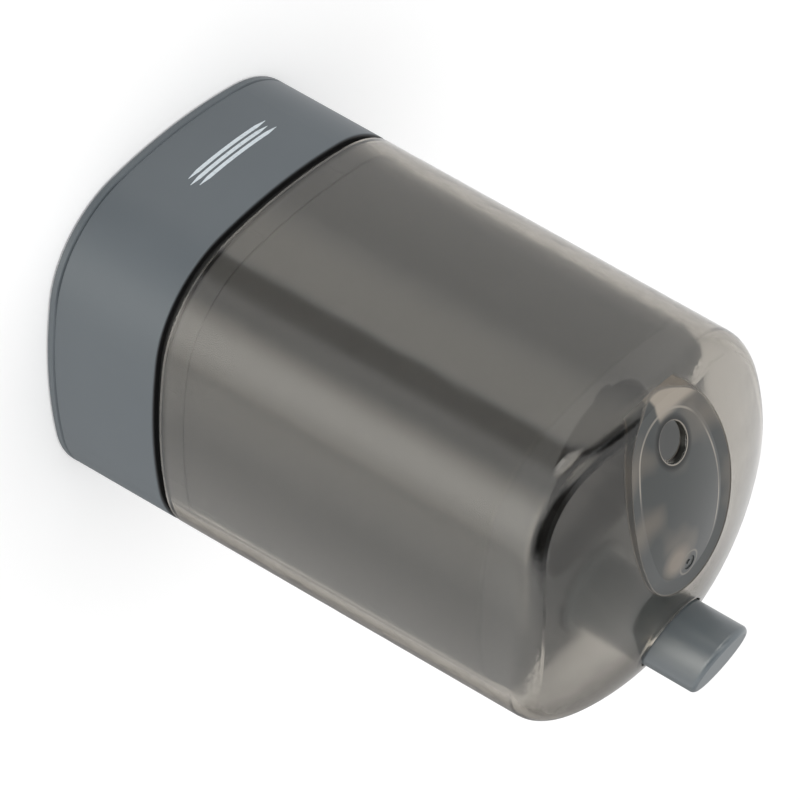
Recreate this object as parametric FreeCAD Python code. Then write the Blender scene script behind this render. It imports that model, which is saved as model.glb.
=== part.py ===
"""Press-button toothpick dispenser: grey base, smoky lift-off shell, lever-driven pick lifter.

Millimetres.  +Z is up, the front (the side with the outlet) faces -Y and the button stands at
the rear.  The origin is the middle of the footprint, on the table.

How it works: the button pushes a stem down the tower of the hopper.  The stem's pin swings a
rocker in the base, and the rocker's other end raises a lifter below the outlet, which pushes
one toothpick out of the hole in the scoop.  The spring under the button takes it all back.
"""

import FreeCAD
import Part

import math
import os

V = FreeCAD.Vector
X_AXIS = V(1, 0, 0)
Z_AXIS = V(0, 0, 1)

# ---- outer form -----------------------------------------------------------------------------
body_half_x = 33.0            # at the foot of the base
body_half_y = 32.75
body_corner_round = 20.0      # plan radius of the corners
body_side_bow = 90.0          # plan radius of the bowed sides
body_draft = 0.011            # each wall leans in by this much for each mm of height
body_height = 109.2           # table to the top of the dome
dome_radius = 62.0
dome_edge_round = 5.0
foot_stand = 0.4              # the pads hold the base off the table by this much

# ---- base -----------------------------------------------------------------------------------
cover_plate = 1.3             # bottom cover
cover_edge_bevel = 0.3        # leaves a fine groove where cover and band meet
band_top = 23.3
band_edge_round = 0.5
band_wall = 2.2
groove_height = 1.35          # shadow gap between band and shell
groove_depth = 1.2
deck_plate = 2.0

# ---- shell ----------------------------------------------------------------------------------
shell_wall = 2.0
shell_mouth_bevel = 0.3
scoop_front_setback = 1.25     # front end, in from the foot of the front wall
scoop_half_length = 18.2
scoop_half_width = 12.4
scoop_end_round = 11.0
scoop_depth = 0.65
scoop_slope_width = 2.6       # the scoop's wall slopes in by this much
scoop_lip = 0.1               # upright part of that wall, at its top
gate_mark_radius = 1.3        # where the plastic entered the mould, in the scoop's floor
gate_mark_depth = 0.2
gate_mark_y = 0.3
gate_nub_radius = 0.45
outlet_setback = 9.25         # axis, in from the foot of the front wall
outlet_radius = 3.2
outlet_edge_round = 0.3

# ---- toothpick that the dispenser is made for -----------------------------------------------
pick_length = 65.0
pick_radius = 1.0

# ---- hopper ---------------------------------------------------------------------------------
hopper_play = 0.6             # between the shell and the hopper's skirt
hopper_wall = 1.6
hopper_drop = 19.5            # its flat top, below the top of the dome
hopper_top_plate = 2.0
hopper_edge_round = 0.6
hopper_foot_play = 0.25       # the foot centres the shell's mouth
hopper_foot_height = 4.0
hopper_rib_proud = 0.15       # eight fine ribs on the foot grip the mouth
hopper_rib_width = 1.2
hopper_rib_x = 10.0           # either side of the middle of each side
well_half_width = 12.9        # the picks stand in the well, which is round at the front
well_front_setback = 7.95     # in from the foot of the front wall
well_rear_round = 5.0
well_wall = 1.4
web_wall = 1.2                # webs between well and skirt
web_pitch = 10.5
funnel_bottom = 29.5          # floor at the throat
funnel_floor = 1.8
funnel_slope_deg = 10.0
throat_land = 1.2             # flat ring round the guide, before the funnel rises
chute_wall = 1.4               # round the groove in the well's front
chute_rib_wall = 1.2
chute_rib_drop = 9.4          # top of the ribs, below the hopper's top
chute_rib_reach = 2.2         # the ribs reach this far behind the lifter's axis
chute_play = 0.35
tower_bore = 4.0
tower_wall = 1.6

# ---- button ---------------------------------------------------------------------------------
button_setback = 14.45        # axis, in from the foot of the rear wall
button_radius = 6.8
button_proud = 9.85           # above the dome, on its axis
button_tilt_deg = 18.0        # the thumb face leans back with the dome
button_edge_round = 0.9
button_flange_radius = 8.2
button_flange = 1.0
button_skirt = 16.45          # below the dome, on its axis
button_hole_play = 0.35
button_well_play = 0.4        # round the flange, in the hopper's top
button_well_wall = 1.4
button_well_floor = 1.8
button_travel = 8.5
button_stop_gap = 0.1         # left between flange and washer when fully pressed
spring_pocket_depth = 5.0
spring_pocket_play = 0.4
stem_radius = 2.5
stem_socket_depth = 21.5      # both measured up from the button's foot
stem_tail = 2.8               # below the stem's pin
stem_guide_wall = 0.9
stem_guide_flange = 1.5
stem_guide_height = 6.5       # above the deck
clip_thickness = 0.6
clip_reach = 1.3
clip_play = 0.05

# ---- return spring --------------------------------------------------------------------------
spring_wire = 0.8
spring_mean_radius = 4.55
spring_turns = 4.5
washer_thickness = 0.6

# ---- rocker ---------------------------------------------------------------------------------
lever_ratio = 2.0             # the lifter rises this many times the button's travel
fulcrum_drop = 8.2            # below the underside of the deck
rocker_boss_radius = 4.0
rocker_end_radius = 3.0
rocker_cheek_inside = 4.1     # clears the stem's clip
rocker_cheek = 1.8
rocker_web = 2.0
rocker_web_from = -19.0       # along the arm, the front is negative
rocker_web_to = 9.0
slot_play = 0.15
slot_end_play = 0.1
fulcrum_pin_radius = 1.5
fulcrum_pin_head = 2.4
fulcrum_pin_head_length = 0.8
running_play = 0.06           # radial, in every bush and bore that turns or slides
seat_play = 0.03              # radial, where a piece is pushed home and stays
bracket_plate = 1.6
bracket_ear = 1.8
bracket_ear_round = 3.2
bracket_half_length = 6.5
bracket_half_width = 14.4
bracket_side_play = 0.3
bracket_screw_x = 11.2

# ---- lifter ---------------------------------------------------------------------------------
lifter_radius = 2.0
lifter_tail = 2.6
lifter_guide_wall = 0.8
lifter_guide_flange = 1.5
lifter_guide_flange_reach = 0.8
cup_radius = 2.3
cup_height = 3.6
cup_socket = 2.0
cup_dish = 1.0
link_pin_radius = 1.0
link_pin_proud = 0.4          # past the rocker's cheeks

# ---- fasteners and feet ---------------------------------------------------------------------
screw_shank_radius = 1.25
screw_head_radius = 2.2
screw_head_height = 1.3
screw_cross = 0.6             # width and depth of the cross in the head
screw_length = 8.5
screw_clearance = 0.25
boss_radius = 3.4
cover_screw_x = 12.0
cover_screw_setback = 8.75
cover_boss_height = 2.5       # cups on the cover that meet the band's bosses
head_pocket_play = 0.3
hopper_screw_y = 8.0
boss_bite = 0.6               # the hopper's bosses are sunk in its skirt by this much
pad_setback = 12.0
pad_radius = 4.5
pad_thickness = 1.0
cover_rim_height = 2.5
cover_rim_wall = 1.2
cover_rim_play = 0.2

# ---- worked out from the above --------------------------------------------------------------
outlet_y = outlet_setback - body_half_y
button_y = body_half_y - button_setback
scoop_centre_y = scoop_front_setback - body_half_y + scoop_half_length
cover_screw_y = body_half_y - cover_screw_setback
pad_x, pad_y = body_half_x - pad_setback, body_half_y - pad_setback
cover_top = foot_stand + cover_plate
shell_bottom = band_top + groove_height
deck_top = shell_bottom
deck_bottom = deck_top - deck_plate
foot_inset = shell_wall + hopper_foot_play
hopper_inset = shell_wall + hopper_play
hopper_room_inset = hopper_inset + hopper_wall
hopper_screw_x = body_half_x - body_draft * deck_top - hopper_room_inset - boss_radius + boss_bite
dome_centre_z = body_height - dome_radius
dome_at_button = dome_centre_z + math.sqrt(dome_radius ** 2 - button_y ** 2)
hopper_top = body_height - hopper_drop
tower_out = tower_bore + tower_wall
well_front = well_front_setback - body_half_y
button_well = button_flange_radius + button_well_play
well_rear = button_y - button_well - button_well_wall
rear_arm = (button_y - outlet_y) / (1 + lever_ratio)
front_arm = rear_arm * lever_ratio
fulcrum_y = button_y - rear_arm
fulcrum_z = deck_bottom - fulcrum_drop
rock_angle = math.atan(button_travel / 2 / rear_arm)
lifter_travel = button_travel * lever_ratio
stem_pin_z = fulcrum_z + button_travel / 2
lifter_pin_z = fulcrum_z - lifter_travel / 2
rocker_half_width = rocker_cheek_inside + rocker_cheek
ear_inside = rocker_half_width + bracket_side_play
button_top = dome_at_button + button_proud
button_foot = dome_at_button - button_skirt
spring_pocket_top = button_foot + spring_pocket_depth
stem_socket_top = button_foot + stem_socket_depth
tower_top = button_foot - button_travel - button_stop_gap - washer_thickness
ABOVE = body_height + 20.0    # clear above everything
SLOPE = math.tan(math.radians(funnel_slope_deg))


# ---- plan section and the forms made from it ------------------------------------------------
def plan_wire(inset, z):
    """Closed plan of the body at height z, offset inwards: four bowed sides, four corners."""
    half_x = body_half_x - body_draft * z - inset
    half_y = body_half_y - body_draft * z - inset
    corner = body_corner_round - inset
    bow = body_side_bow - inset
    cx, cy = half_x - corner, half_y - corner
    for _ in range(40):
        cx = half_x - bow + math.sqrt((bow - corner) ** 2 - cy ** 2)
        cy = half_y - bow + math.sqrt((bow - corner) ** 2 - cx ** 2)

    def touch(sx, sy, along_x):
        """Point where a corner arc runs into the side that faces X (or Y)."""
        centre = (-(bow - half_x), 0.0) if along_x else (0.0, -(bow - half_y))
        dx, dy = cx - centre[0], cy - centre[1]
        size = bow / math.hypot(dx, dy)
        return V(sx * (centre[0] + dx * size), sy * (centre[1] + dy * size), z)

    edges = []
    quadrants = [(1, 1), (-1, 1), (-1, -1), (1, -1)]
    for i, (sx, sy) in enumerate(quadrants):
        nx, ny = quadrants[(i + 1) % 4]
        from_x = sx == sy
        start, end = touch(sx, sy, from_x), touch(sx, sy, not from_x)
        middle = V(sx * (cx + corner * math.sqrt(0.5)), sy * (cy + corner * math.sqrt(0.5)), z)
        edges.append(Part.Arc(start, middle, end).toShape())
        crown = V(0, sy * half_y, z) if from_x else V(sx * half_x, 0, z)
        edges.append(Part.Arc(end, crown, touch(nx, ny, not from_x)).toShape())
    return Part.Wire(edges)


def tapered(inset, z0, z1):
    """Solid with the body's plan, offset inwards, that follows the draft from z0 to z1."""
    return Part.makeLoft([plan_wire(inset, z0), plan_wire(inset, z1)], True, True)


def ball(depth):
    """The sphere of the dome, this far below its surface, with its seam at the bottom."""
    sphere = Part.makeSphere(dome_radius - depth)
    sphere.rotate(V(0, 0, 0), V(0, 1, 0), 90)
    sphere.translate(V(0, 0, dome_centre_z))
    return sphere


def domed(inset, z0):
    """The body's form from z0 to the dome, offset inwards all over."""
    form = tapered(inset, z0, ABOVE).common(ball(inset))
    rim = [e for e in form.Edges if e.BoundBox.ZMin > hopper_top and is_dome_edge(form, e)]
    return form.makeFillet(dome_edge_round - inset, rim)


def is_dome_edge(form, edge):
    """True for an edge that the dome shares with a side."""
    dome = [f for f in form.Faces if isinstance(f.Surface, Part.Sphere)]
    return any(edge.isSame(e) for f in dome for e in f.Edges) and not edge.Degenerated


def oval_prism(grow, z0, z1):
    """Upright prism on the scoop's oval plan: two end arcs and two side arcs."""
    length = scoop_half_length + grow
    width = scoop_half_width + grow
    end = scoop_end_round + grow
    centre = length - end
    side = (end ** 2 - width ** 2 - centre ** 2) / (2 * (end - width))
    size = side / (side - end)

    def touch(sx, sy):
        x = -(side - width) + (side - width) * size
        return V(sx * x, scoop_centre_y + sy * centre * size, z0)

    def arc(a, b, c):
        return Part.Arc(a, b, c).toShape()

    rear, front = V(0, scoop_centre_y + length, z0), V(0, scoop_centre_y - length, z0)
    right, left = V(width, scoop_centre_y, z0), V(-width, scoop_centre_y, z0)
    wire = Part.Wire([arc(touch(1, 1), rear, touch(-1, 1)), arc(touch(-1, 1), left, touch(-1, -1)),
                      arc(touch(-1, -1), front, touch(1, -1)), arc(touch(1, -1), right, touch(1, 1))])
    return Part.Face(wire).extrude(V(0, 0, z1 - z0))


# ---- small helpers --------------------------------------------------------------------------
def rod(radius, x, y, z0, z1):
    """Upright cylinder."""
    return Part.makeCylinder(radius, z1 - z0, V(x, y, z0))


def ring(outer, inner, x, y, z0, z1):
    """Upright tube."""
    return rod(outer, x, y, z0, z1).cut(rod(inner, x, y, z0 - 1, z1 + 1))


def box(x0, x1, y0, y1, z0, z1):
    """Box between two corners."""
    return Part.makeBox(x1 - x0, y1 - y0, z1 - z0, V(x0, y0, z0))


def crosswise(radius, x0, x1, y, z):
    """Cylinder along X."""
    return Part.makeCylinder(radius, x1 - x0, V(x0, y, z), X_AXIS)


def well_prism(grow, z0, z1):
    """Upright prism on the well's plan: round at the front, square with round corners behind."""
    half = well_half_width + grow
    turn = well_rear_round + grow
    front, rear = well_front - grow, well_rear + grow
    side, back = front + half, rear - turn
    corner = turn * (1 - math.sqrt(0.5))

    def at(x, y):
        return V(x, y, z0)

    def line(a, b):
        return Part.LineSegment(a, b).toShape()

    wire = Part.Wire([
        Part.Arc(at(-half, side), at(0, front), at(half, side)).toShape(),
        line(at(half, side), at(half, back)),
        Part.Arc(at(half, back), at(half - corner, rear - corner), at(half - turn, rear)).toShape(),
        line(at(half - turn, rear), at(turn - half, rear)),
        Part.Arc(at(turn - half, rear), at(corner - half, rear - corner), at(-half, back)).toShape(),
        line(at(-half, back), at(-half, side))])
    return Part.Face(wire).extrude(V(0, 0, z1 - z0))


def mirrored_places(x, y):
    """The four places at plus and minus x and y."""
    return [(sx * x, sy * y) for sx in (1, -1) for sy in (1, -1)]


def fuse_all(shapes):
    """One solid from several that overlap or touch."""
    return shapes[0].multiFuse(shapes[1:]).removeSplitter()


def cut_all(shape, tools):
    """The shape less every tool."""
    return shape.cut(Part.makeCompound(tools))


def circles_hull(c0, r0, c1, r1, x0, x1):
    """Plate across X whose outline wraps two circles given as (y, z) and a radius."""
    dy, dz = c1[0] - c0[0], c1[1] - c0[1]
    base = math.atan2(dz, dy)
    spread = math.acos((r0 - r1) / math.hypot(dy, dz))

    def on(centre, radius, angle):
        return V(x0, centre[0] + radius * math.cos(angle), centre[1] + radius * math.sin(angle))

    up, down = base + spread, base - spread
    wire = Part.Wire([
        Part.LineSegment(on(c0, r0, up), on(c1, r1, up)).toShape(),
        Part.Arc(on(c1, r1, up), on(c1, r1, base), on(c1, r1, down)).toShape(),
        Part.LineSegment(on(c1, r1, down), on(c0, r0, down)).toShape(),
        Part.Arc(on(c0, r0, down), on(c0, r0, base + math.pi), on(c0, r0, up)).toShape()])
    return Part.Face(wire).extrude(V(x1 - x0, 0, 0))


def screw(x, y, seat_z, length):
    """Pan-head screw driven upwards, its head's top face at seat_z."""
    head = rod(screw_head_radius, x, y, seat_z - screw_head_height, seat_z)
    low = [e for e in head.Edges if abs(e.BoundBox.ZMax - head.BoundBox.ZMin) < 0.01]
    head = head.makeFillet(screw_head_height * 0.4, low)
    under = seat_z - screw_head_height
    arm = screw_head_radius * 0.55
    half = screw_cross / 2
    cross = [box(x - arm, x + arm, y - half, y + half, under - 1, under + screw_cross),
             box(x - half, x + half, y - arm, y + arm, under - 1, under + screw_cross)]
    return cut_all(head.fuse(rod(screw_shank_radius, x, y, seat_z, seat_z + length)), cross)


def pilot(x, y, z0, length):
    """Hole that a screw's shank cuts its thread in."""
    return rod(screw_shank_radius + seat_play, x, y, z0, z0 + length)


def funnel_height(x, y):
    """Height of the hopper's floor above a point of the plan."""
    return funnel_bottom + max(0.0, math.hypot(x, y - outlet_y) - funnel_land_radius()) * SLOPE


def funnel_land_radius():
    """Flat ring round the lifter's guide."""
    return lifter_radius + running_play + lifter_guide_wall + throat_land


def funnel_above(drop):
    """Everything above the hopper's conical floor, lowered by drop."""
    rise = 14.0
    low = funnel_bottom - drop
    land = funnel_land_radius()
    wide = land + rise / SLOPE
    cone = Part.makeCone(land, wide, rise, V(0, outlet_y, low))
    return cone.fuse(rod(wide, 0, outlet_y, low + rise, ABOVE))


# ---- base -----------------------------------------------------------------------------------
def make_base_band():
    """Skirt and deck, moulded in one, with a ledge that the shell stands on."""
    skirt = tapered(0, cover_top, band_top)
    skirt = skirt.makeFillet(band_edge_round, edges_at(skirt, band_top))
    ledge = tapered(groove_depth, band_top - 1, deck_top)
    body = fuse_all([skirt, ledge]).cut(tapered(band_wall, cover_top - 1, deck_bottom))
    low = [e for e in edges_at(body, cover_top)
           if e.BoundBox.DiagonalLength > 5 and is_outermost(body, e)]
    body = body.makeChamfer(cover_edge_bevel, low)
    bosses = [rod(boss_radius, x, y, cover_top + cover_boss_height, deck_bottom + 0.5)
              for x, y in mirrored_places(cover_screw_x, cover_screw_y)]
    body = fuse_all([body] + bosses)
    tools = [pilot(x, y, cover_top, screw_length + 3)
             for x, y in mirrored_places(cover_screw_x, cover_screw_y)]
    tools += [rod(screw_shank_radius + screw_clearance, x, y, deck_bottom - 1, deck_top + 1)
              for x, y in mirrored_places(hopper_screw_x, hopper_screw_y)]
    tools += [pilot(sign * bracket_screw_x, fulcrum_y, deck_bottom - 1, deck_plate + 2)
              for sign in (1, -1)]
    tools.append(rod(stem_radius + running_play + stem_guide_wall + seat_play, 0, button_y,
                     deck_bottom - 1, deck_top + 1))
    tools.append(lever_slot())
    return cut_all(body, tools)


def edges_at(shape, z):
    """The shape's edges that lie level at height z."""
    return [e for e in shape.Edges
            if abs(e.BoundBox.ZMin - z) < 0.01 and abs(e.BoundBox.ZMax - z) < 0.01]


def is_outermost(body, edge):
    """True for an edge on the outline of the body's foot."""
    box_ = body.BoundBox
    mid = edge.valueAt((edge.FirstParameter + edge.LastParameter) / 2)
    reach = math.hypot(mid.x, mid.y)
    return reach > min(box_.XLength, box_.YLength) / 2 - band_wall / 2


def lever_slot():
    """Opening in the deck that the rocker's front end swings up through."""
    half = rocker_half_width + 0.8
    tip = front_arm * math.cos(rock_angle) + rocker_end_radius + 2.0
    return box(-half, half, fulcrum_y - tip - 1.0, fulcrum_y - 13.5, deck_bottom - 1, deck_top + 1)


def make_bottom_cover():
    """Plate with a locating rim, cups for the screws and seats for the pads."""
    plate = tapered(0, foot_stand, cover_top)
    top = [e for e in plate.Edges if e.BoundBox.ZMin > cover_top - 0.01]
    plate = plate.makeChamfer(cover_edge_bevel, top)
    inset = band_wall + cover_rim_play
    rim = tapered(inset, cover_top - 0.5, cover_top + cover_rim_height)
    rim = rim.cut(tapered(inset + cover_rim_wall, cover_top - 1, cover_top + cover_rim_height + 1))
    places = mirrored_places(cover_screw_x, cover_screw_y)
    cups = [rod(boss_radius, x, y, cover_top - 0.5, cover_top + cover_boss_height)
            for x, y in places]
    body = fuse_all([plate, rim] + cups)
    seat = cover_screw_seat()
    tools = [rod(screw_head_radius + head_pocket_play, x, y, -1, seat) for x, y in places]
    tools += [rod(screw_shank_radius + screw_clearance, x, y, -1, seat + 5) for x, y in places]
    tools += [rod(pad_radius + seat_play, x, y, -1, pad_thickness)
              for x, y in mirrored_places(pad_x, pad_y)]
    return cut_all(body, tools)


def cover_screw_seat():
    """Face in the cover's cups that the screw heads pull against."""
    return cover_top + cover_boss_height - 1.2


def make_cover_screws():
    """Four screws, driven up through the cover."""
    return Part.makeCompound([screw(x, y, cover_screw_seat(), screw_length)
                              for x, y in mirrored_places(cover_screw_x, cover_screw_y)])


def make_foot_pads():
    """Four soft pads let into the cover."""
    pads = []
    for x, y in mirrored_places(pad_x, pad_y):
        pad = rod(pad_radius, x, y, 0, pad_thickness)
        low = [e for e in pad.Edges if e.BoundBox.ZMax < 0.01]
        pads.append(pad.makeFillet(foot_stand * 0.5, low))
    return Part.makeCompound(pads)


# ---- hopper ---------------------------------------------------------------------------------
def make_hopper_tub():
    """Hopper, moulded in one: skirt with a flat top, well for the picks, tower for the stem."""
    skirt = tapered(hopper_inset, deck_top, hopper_top)
    skirt = skirt.makeFillet(hopper_edge_round, edges_at(skirt, hopper_top))
    room = tapered(hopper_room_inset, deck_top - 1, hopper_top - hopper_top_plate)
    foot = tapered(foot_inset, deck_top, deck_top + hopper_foot_height)
    outside = fuse_all([skirt, foot] + foot_ribs()).cut(room)
    well = well_prism(well_wall, deck_top, hopper_top).common(funnel_above(funnel_floor))
    tower = rod(tower_out, 0, button_y, deck_top, tower_top)
    cup = rod(button_well + button_well_wall, 0, button_y, tower_top - button_well_floor, hopper_top)
    bosses = [rod(boss_radius, x, y, deck_top, deck_top + screw_length)
              for x, y in mirrored_places(hopper_screw_x, hopper_screw_y)]
    within = tapered(hopper_room_inset - hopper_wall / 2, deck_top, hopper_top - 0.5)
    inner = [form.common(within) for form in side_webs() + [tower_web(), cup, chute_back()]]
    body = fuse_all([outside, well, tower] + bosses + inner)
    groove = rod(cup_radius + chute_play, 0, outlet_y, deck_top, ABOVE)
    tools = [well_prism(0, deck_top, ABOVE).fuse(groove).common(funnel_above(0)),
             rod(tower_bore, 0, button_y, deck_top - 1, tower_top + 1),
             rod(button_well, 0, button_y, tower_top, ABOVE),
             rod(lifter_guide_outer() + seat_play, 0, outlet_y, deck_top, funnel_bottom + 1),
             rod(lifter_guide_outer() + lifter_guide_flange_reach + seat_play, 0, outlet_y,
                 deck_top - 1, funnel_bottom - funnel_floor)]
    tools += [pilot(x, y, deck_top - 1, screw_length - deck_plate + 2)
              for x, y in mirrored_places(hopper_screw_x, hopper_screw_y)]
    body = cut_all(body, tools)
    return fuse_all([body, chute_rib(1), chute_rib(-1)])


def foot_ribs():
    """Fine upright ribs on the foot, two on each side, that the shell's mouth grips."""
    low, high = deck_top + 0.8, deck_top + hopper_foot_height - 0.6
    half = hopper_rib_width / 2
    proud = hopper_rib_proud - half
    ribs = []
    for sign in (1, -1):
        for along in (-hopper_rib_x, hopper_rib_x):
            sag = body_side_bow - math.sqrt(body_side_bow ** 2 - along ** 2)
            x = body_half_x - body_draft * high - foot_inset - sag + proud
            y = body_half_y - body_draft * high - foot_inset - sag + proud
            ribs.append(rod(half, sign * x, along, low, high))
            ribs.append(rod(half, along, sign * y, low, high))
    return ribs


def side_webs():
    """Upright webs that tie the well's sides, and the tower behind it, to the skirt."""
    beside_well = well_half_width + well_wall / 2
    beside_tower = tower_bore + tower_wall / 2
    middle = (well_front + well_half_width + well_rear - well_rear_round) / 2
    webs = []
    for step in (-1, 0, 1, 2):
        y = middle + step * web_pitch
        inner = beside_well if y < well_rear else beside_tower
        webs.append(box(inner, 60, y - web_wall / 2, y + web_wall / 2, deck_top, hopper_top))
        webs.append(box(-60, -inner, y - web_wall / 2, y + web_wall / 2, deck_top, hopper_top))
    return webs


def tower_web():
    """Web that ties the tower to the rear of the skirt."""
    return box(-web_wall / 2, web_wall / 2, button_y + tower_bore + tower_wall / 2, 60,
               deck_top, hopper_top)


def chute_back():
    """Block between the well's front and the skirt, which the chute's groove is cut in."""
    half = cup_radius + chute_play + chute_wall
    return box(-half, half, -60, well_front, deck_top, hopper_top).common(funnel_above(funnel_floor))


def chute_rib(side):
    """One of two ribs on the well's front wall that keep the raised pick upright."""
    inner = cup_radius + chute_play
    low = funnel_bottom + cup_height + 1.5
    rib = box(inner, inner + chute_rib_wall, -60, outlet_y + chute_rib_reach, low,
              hopper_top - chute_rib_drop).common(well_prism(well_wall / 2, deck_top, hopper_top))
    return rib if side > 0 else rib.mirror(V(0, 0, 0), X_AXIS)


def make_hopper_screws():
    """Four screws that hold the hopper to the deck from below."""
    return Part.makeCompound([screw(x, y, deck_bottom, screw_length)
                              for x, y in mirrored_places(hopper_screw_x, hopper_screw_y)])


def lifter_guide_outer():
    """Outside radius of the lifter's guide."""
    return lifter_radius + running_play + lifter_guide_wall


def make_lifter_guide():
    """Flanged bush in the hopper's throat."""
    under = funnel_bottom - funnel_floor
    outer = lifter_guide_outer()
    sleeve = rod(outer, 0, outlet_y, under - lifter_guide_flange, funnel_bottom)
    flange = rod(outer + lifter_guide_flange_reach, 0, outlet_y, under - lifter_guide_flange, under)
    return sleeve.fuse(flange).cut(rod(lifter_radius + running_play, 0, outlet_y,
                                       under - 5, funnel_bottom + 1))


def make_stem_guide():
    """Flanged bush in the deck, inside the tower, that the stem slides in."""
    bore = stem_radius + running_play
    outer = bore + stem_guide_wall
    stem_guide_top = deck_top + stem_guide_height
    sleeve = rod(outer, 0, button_y, deck_bottom, stem_guide_top)
    flange = rod(tower_bore - seat_play, 0, button_y, deck_top, deck_top + stem_guide_flange)
    return sleeve.fuse(flange).cut(rod(bore, 0, button_y, deck_bottom - 1, stem_guide_top + 1))


def make_spring_washer():
    """Steel washer on top of the tower, under the spring."""
    return ring(tower_bore + tower_wall, stem_radius + 0.4, 0, button_y,
                tower_top, tower_top + washer_thickness)


# ---- rocker and its bracket -----------------------------------------------------------------
def make_rocker():
    """Double-cheeked rocker, modelled level and then tipped to its rest angle."""
    hub = (fulcrum_y, fulcrum_z)
    rear_mid = (rear_arm + rear_arm / math.cos(rock_angle)) / 2
    front_mid = (front_arm + front_arm / math.cos(rock_angle)) / 2
    solids, slots = [], []
    for x0 in (rocker_cheek_inside, -rocker_half_width):
        x1 = x0 + rocker_cheek
        solids.append(circles_hull(hub, rocker_boss_radius, (fulcrum_y + rear_mid, fulcrum_z),
                                   rocker_end_radius, x0, x1))
        solids.append(circles_hull(hub, rocker_boss_radius, (fulcrum_y - front_mid, fulcrum_z),
                                   rocker_end_radius, x0, x1))
    solids.append(crosswise(rocker_boss_radius, -rocker_half_width, rocker_half_width, *hub))
    solids.append(box(-rocker_half_width + 0.5, rocker_half_width - 0.5,
                      fulcrum_y + rocker_web_from, fulcrum_y + rocker_web_to,
                      fulcrum_z - rocker_web / 2, fulcrum_z + rocker_web / 2))
    for arm, mid in ((rear_arm, rear_mid), (-front_arm, -front_mid)):
        reach = abs(mid) - abs(arm) + slot_end_play
        slots.append(circles_hull((fulcrum_y + mid - reach, fulcrum_z), link_pin_radius + slot_play,
                                  (fulcrum_y + mid + reach, fulcrum_z), link_pin_radius + slot_play,
                                  -rocker_half_width - 1, rocker_half_width + 1))
    slots.append(crosswise(fulcrum_pin_radius + running_play, -rocker_half_width - 1,
                           rocker_half_width + 1, *hub))
    rocker = cut_all(fuse_all(solids), slots)
    rocker.rotate(V(0, fulcrum_y, fulcrum_z), X_AXIS, math.degrees(rock_angle))
    return rocker


def make_fulcrum_bracket():
    """Pressed bracket under the deck, with two ears for the rocker's pin."""
    plate = box(-bracket_half_width, bracket_half_width, fulcrum_y - bracket_half_length,
                fulcrum_y + bracket_half_length, deck_bottom - bracket_plate, deck_bottom)
    upright = [e for e in plate.Edges if e.BoundBox.ZLength > bracket_plate * 0.9]
    plate = plate.makeFillet(bracket_half_length * 0.4, upright)
    below = box(-60, 60, -60, 60, 0, deck_bottom - bracket_plate / 2)
    ears = [circles_hull((fulcrum_y, fulcrum_z), bracket_ear_round, (fulcrum_y, deck_bottom),
                         bracket_half_length * 0.8, x0, x0 + bracket_ear).common(below)
            for x0 in (ear_inside, -ear_inside - bracket_ear)]
    body = fuse_all([plate] + ears)
    tools = [crosswise(fulcrum_pin_radius + seat_play, -60, 60, fulcrum_y, fulcrum_z)]
    tools += [rod(screw_shank_radius + screw_clearance, sign * bracket_screw_x, fulcrum_y,
                  deck_bottom - 5, deck_bottom + 1) for sign in (1, -1)]
    return cut_all(body, tools)


def make_fulcrum_pin():
    """Headed pin through the ears and the rocker's boss."""
    outside = ear_inside + bracket_ear
    shank = crosswise(fulcrum_pin_radius, -outside - 1.6, outside, fulcrum_y, fulcrum_z)
    head = crosswise(fulcrum_pin_head, outside, outside + fulcrum_pin_head_length,
                     fulcrum_y, fulcrum_z)
    return shank.fuse(head).removeSplitter()


def make_pin_clip():
    """Push-on clip that keeps the fulcrum pin in its bracket."""
    outside = ear_inside + bracket_ear
    disc = crosswise(fulcrum_pin_head, -outside - clip_thickness, -outside, fulcrum_y, fulcrum_z)
    return disc.cut(crosswise(fulcrum_pin_radius + seat_play, -60, 60, fulcrum_y, fulcrum_z))


def make_bracket_screws():
    """Two screws that hold the bracket to the deck."""
    seat = deck_bottom - bracket_plate
    length = bracket_plate + deck_plate - 0.2
    return Part.makeCompound([screw(sign * bracket_screw_x, fulcrum_y, seat, length)
                              for sign in (1, -1)])


# ---- button and stem ------------------------------------------------------------------------
def make_button_cap():
    """Thumb button with a sloping end, a stop flange, a spring pocket and a stem socket."""
    tilt = math.radians(button_tilt_deg)
    body = rod(button_radius, 0, button_y, button_foot, button_top + 10)
    slab = Part.makeBox(60, 60, 30, V(-30, -30, 0))
    slab.rotate(V(0, 0, 0), X_AXIS, -math.degrees(tilt))
    slab.translate(V(0, button_y, button_top))
    body = body.cut(slab)
    crown = [e for e in body.Edges if e.BoundBox.ZMin > button_top - 5 and e.BoundBox.XLength > 5]
    body = body.makeFillet(button_edge_round, crown)
    flange = rod(button_flange_radius, 0, button_y, button_foot, button_foot + button_flange)
    body = body.fuse(flange)
    pocket = rod(spring_mean_radius + spring_wire / 2 + spring_pocket_play, 0, button_y,
                 button_foot - 1, spring_pocket_top)
    socket = rod(stem_radius + seat_play, 0, button_y, button_foot, stem_socket_top)
    return cut_all(body, [pocket, socket])


def make_button_stem():
    """Rod from the button down to the rocker, flush with its socket's end."""
    stem = rod(stem_radius, 0, button_y, stem_pin_z - stem_tail, stem_socket_top)
    ends = [e for e in stem.Edges if e.BoundBox.ZLength < 0.01]
    stem = stem.makeChamfer(0.4, ends)
    groove = ring(stem_radius + 1, stem_radius - 0.5, 0, button_y, clip_low(), clip_low() + clip_thickness)
    return cut_all(stem, [groove, crosswise(link_pin_radius + seat_play, -9, 9, button_y, stem_pin_z)])


def clip_low():
    """Underside of the stem's clip, which stops the button under the stem guide."""
    return deck_bottom - clip_play - clip_thickness


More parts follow.
